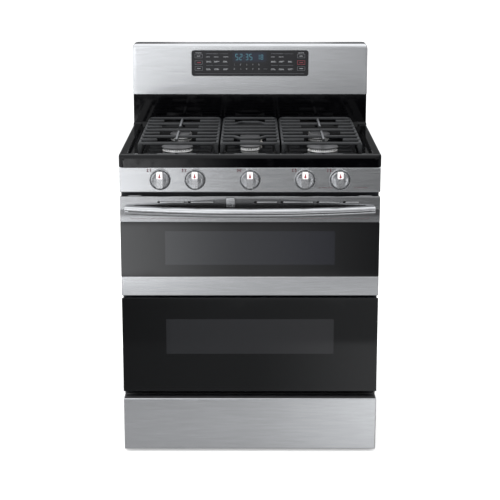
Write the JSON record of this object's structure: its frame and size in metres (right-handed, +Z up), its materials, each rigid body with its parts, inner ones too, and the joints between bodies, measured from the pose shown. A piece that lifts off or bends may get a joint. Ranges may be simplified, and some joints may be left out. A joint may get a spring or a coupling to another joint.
{
  "type": "freestanding gas range",
  "caption": "Freestanding gas range with cast grates, front knobs, split double oven door with one bowed handle, storage drawer and electronic backguard",
  "frame": {"origin": "on the floor, under the middle of the range's overall box", "axes": "+Z up, +X to the right of a person facing the range, -Y out of the front where the doors open"},
  "size_m": [0.76, 0.728, 1.168],
  "materials": {
    "stainless": "brushed stainless steel, fine horizontal grain, light fingerprints",
    "polished_steel": "polished and brushed bar, bright",
    "knob_metal": "satin metallic knob with bright edges",
    "black_enamel": "glossy black porcelain enamel, light reflections",
    "oven_enamel": "dark speckled porcelain enamel, satin gloss",
    "black_glass": "black printed tempered glass with darker tinted window",
    "cast_iron": "matte black cast iron, fine cast grain",
    "burner_metal": "cast aluminium burner head, lightly heat stained",
    "painted_steel": "dark grey painted sheet steel, fine orange peel",
    "galvanised": "zinc coated sheet steel, light spangle",
    "rack_wire": "bright plated wire",
    "brass": "machined brass and aluminium gas tube",
    "black_plastic": "moulded black plastic, fine texture",
    "foot_rubber": "black moulded foot",
    "circuit_board": "green circuit board"
  },
  "bodies": {
    "chassis": {"side_panel_left": "painted_steel", "side_panel_right": "painted_steel", "rear_panel": "galvanised", "base_pan": "galvanised", "front_frame": "oven_enamel", "oven_liner": "oven_enamel", "foot_front_left": "foot_rubber", "foot_front_right": "foot_rubber", "foot_rear_left": "foot_rubber", "foot_rear_right": "foot_rubber", "door_hinge_left": "galvanised", "door_hinge_right": "galvanised", "drawer_rail_left": "galvanised", "drawer_rail_right": "galvanised", "bake_burner": "galvanised", "broil_burner": "galvanised", "cooktop": "black_enamel", "burner_head_front_left": "burner_metal", "burner_head_rear_left": "burner_metal", "burner_head_center": "burner_metal", "burner_head_rear_right": "burner_metal", "burner_head_front_right": "burner_metal", "burner_cap_front_left": "cast_iron", "burner_cap_rear_left": "cast_iron", "burner_cap_center": "cast_iron", "burner_cap_rear_right": "cast_iron", "burner_cap_front_right": "cast_iron", "control_panel": "stainless", "gas_manifold": "brass", "backguard_riser": "black_enamel", "backguard_cover": "stainless", "display_glass": "black_glass", "control_board": "circuit_board"},
    "lower_door": {"lower_door_glass": "black_glass", "lower_door_liner": "oven_enamel"},
    "upper_door": {"upper_door_glass": "black_glass", "upper_door_liner": "oven_enamel", "upper_door_top_trim": "stainless", "upper_door_bottom_trim": "stainless", "door_handle": "polished_steel"},
    "release": {"door_release": "knob_metal"},
    "drawer": {"drawer_box": "galvanised", "drawer_front": "stainless", "drawer_cap": "black_plastic"},
    "grate_left_body": {"grate_left": "cast_iron"},
    "grate_center_body": {"grate_center": "cast_iron"},
    "grate_right_body": {"grate_right": "cast_iron"},
    "rack_upper": {"oven_rack_upper": "rack_wire"},
    "rack_lower": {"oven_rack_lower": "rack_wire"},
    "fan": {"convection_fan": "galvanised"},
    "stem_left_outer": {"valve_stem_left_outer": "galvanised"},
    "knob_left_outer_body": {"knob_left_outer": "knob_metal"},
    "stem_left_inner": {"valve_stem_left_inner": "galvanised"},
    "knob_left_inner_body": {"knob_left_inner": "knob_metal"},
    "stem_center": {"valve_stem_center": "galvanised"},
    "knob_center_body": {"knob_center": "knob_metal"},
    "stem_right_inner": {"valve_stem_right_inner": "galvanised"},
    "knob_right_inner_body": {"knob_right_inner": "knob_metal"},
    "stem_right_outer": {"valve_stem_right_outer": "galvanised"},
    "knob_right_outer_body": {"knob_right_outer": "knob_metal"}
  },
  "joints": [
    {"name": "door_full_hinge", "type": "hinge", "parent": "chassis", "child": "lower_door", "pos_m": [0, -0.2905, 0.199], "axis": [-1, 0, 0], "range_deg": [-88, 0]},
    {"name": "door_upper_hinge", "type": "hinge", "parent": "lower_door", "child": "upper_door", "pos_m": [0, -0.2905, 0.496], "axis": [1, 0, 0], "range_deg": [0, 88]},
    {"name": "door_release", "type": "slide", "parent": "upper_door", "child": "release", "axis": [0, 1, 0], "range_m": [0, 0.005], "stiffness_N_per_m": 300, "springref_m": -0.004},
    {"name": "drawer_slide", "type": "slide", "parent": "chassis", "child": "drawer", "axis": [0, -1, 0], "range_m": [0, 0.38]},
    {"name": "fan_spin", "type": "hinge", "parent": "chassis", "child": "fan", "pos_m": [0, 0.215, 0.491], "axis": [0, 1, 0], "continuous": true},
    {"name": "grate_left_lift", "type": "slide", "parent": "chassis", "child": "grate_left_body", "axis": [0, 0, 1], "range_m": [0, 0.12]},
    {"name": "grate_center_lift", "type": "slide", "parent": "chassis", "child": "grate_center_body", "axis": [0, 0, 1], "range_m": [0, 0.12]},
    {"name": "grate_right_lift", "type": "slide", "parent": "chassis", "child": "grate_right_body", "axis": [0, 0, 1], "range_m": [0, 0.12]},
    {"name": "rack_upper_slide", "type": "slide", "parent": "chassis", "child": "rack_upper", "axis": [0, -1, 0], "range_m": [0, 0.025]},
    {"name": "rack_lower_slide", "type": "slide", "parent": "chassis", "child": "rack_lower", "axis": [0, -1, 0], "range_m": [0, 0.025]},
    {"name": "stem_left_outer_push", "type": "slide", "parent": "chassis", "child": "stem_left_outer", "axis": [0, 1, 0], "range_m": [0, 0.004], "stiffness_N_per_m": 400, "springref_m": -0.004},
    {"name": "knob_left_outer_turn", "type": "hinge", "parent": "stem_left_outer", "child": "knob_left_outer_body", "pos_m": [-0.26, -0.32, 0.836], "axis": [0, -1, 0], "range_deg": [0, 230]},
    {"name": "stem_left_inner_push", "type": "slide", "parent": "chassis", "child": "stem_left_inner", "axis": [0, 1, 0], "range_m": [0, 0.004], "stiffness_N_per_m": 400, "springref_m": -0.004},
    {"name": "knob_left_inner_turn", "type": "hinge", "parent": "stem_left_inner", "child": "knob_left_inner_body", "pos_m": [-0.159, -0.32, 0.836], "axis": [0, -1, 0], "range_deg": [0, 230]},
    {"name": "stem_center_push", "type": "slide", "parent": "chassis", "child": "stem_center", "axis": [0, 1, 0], "range_m": [0, 0.004], "stiffness_N_per_m": 400, "springref_m": -0.004},
    {"name": "knob_center_turn", "type": "hinge", "parent": "stem_center", "child": "knob_center_body", "pos_m": [0, -0.32, 0.836], "axis": [0, -1, 0], "range_deg": [0, 230]},
    {"name": "stem_right_inner_push", "type": "slide", "parent": "chassis", "child": "stem_right_inner", "axis": [0, 1, 0], "range_m": [0, 0.004], "stiffness_N_per_m": 400, "springref_m": -0.004},
    {"name": "knob_right_inner_turn", "type": "hinge", "parent": "stem_right_inner", "child": "knob_right_inner_body", "pos_m": [0.159, -0.32, 0.836], "axis": [0, -1, 0], "range_deg": [0, 230]},
    {"name": "stem_right_outer_push", "type": "slide", "parent": "chassis", "child": "stem_right_outer", "axis": [0, 1, 0], "range_m": [0, 0.004], "stiffness_N_per_m": 400, "springref_m": -0.004},
    {"name": "knob_right_outer_turn", "type": "hinge", "parent": "stem_right_outer", "child": "knob_right_outer_body", "pos_m": [0.26, -0.32, 0.836], "axis": [0, -1, 0], "range_deg": [0, 230]}
  ]
}
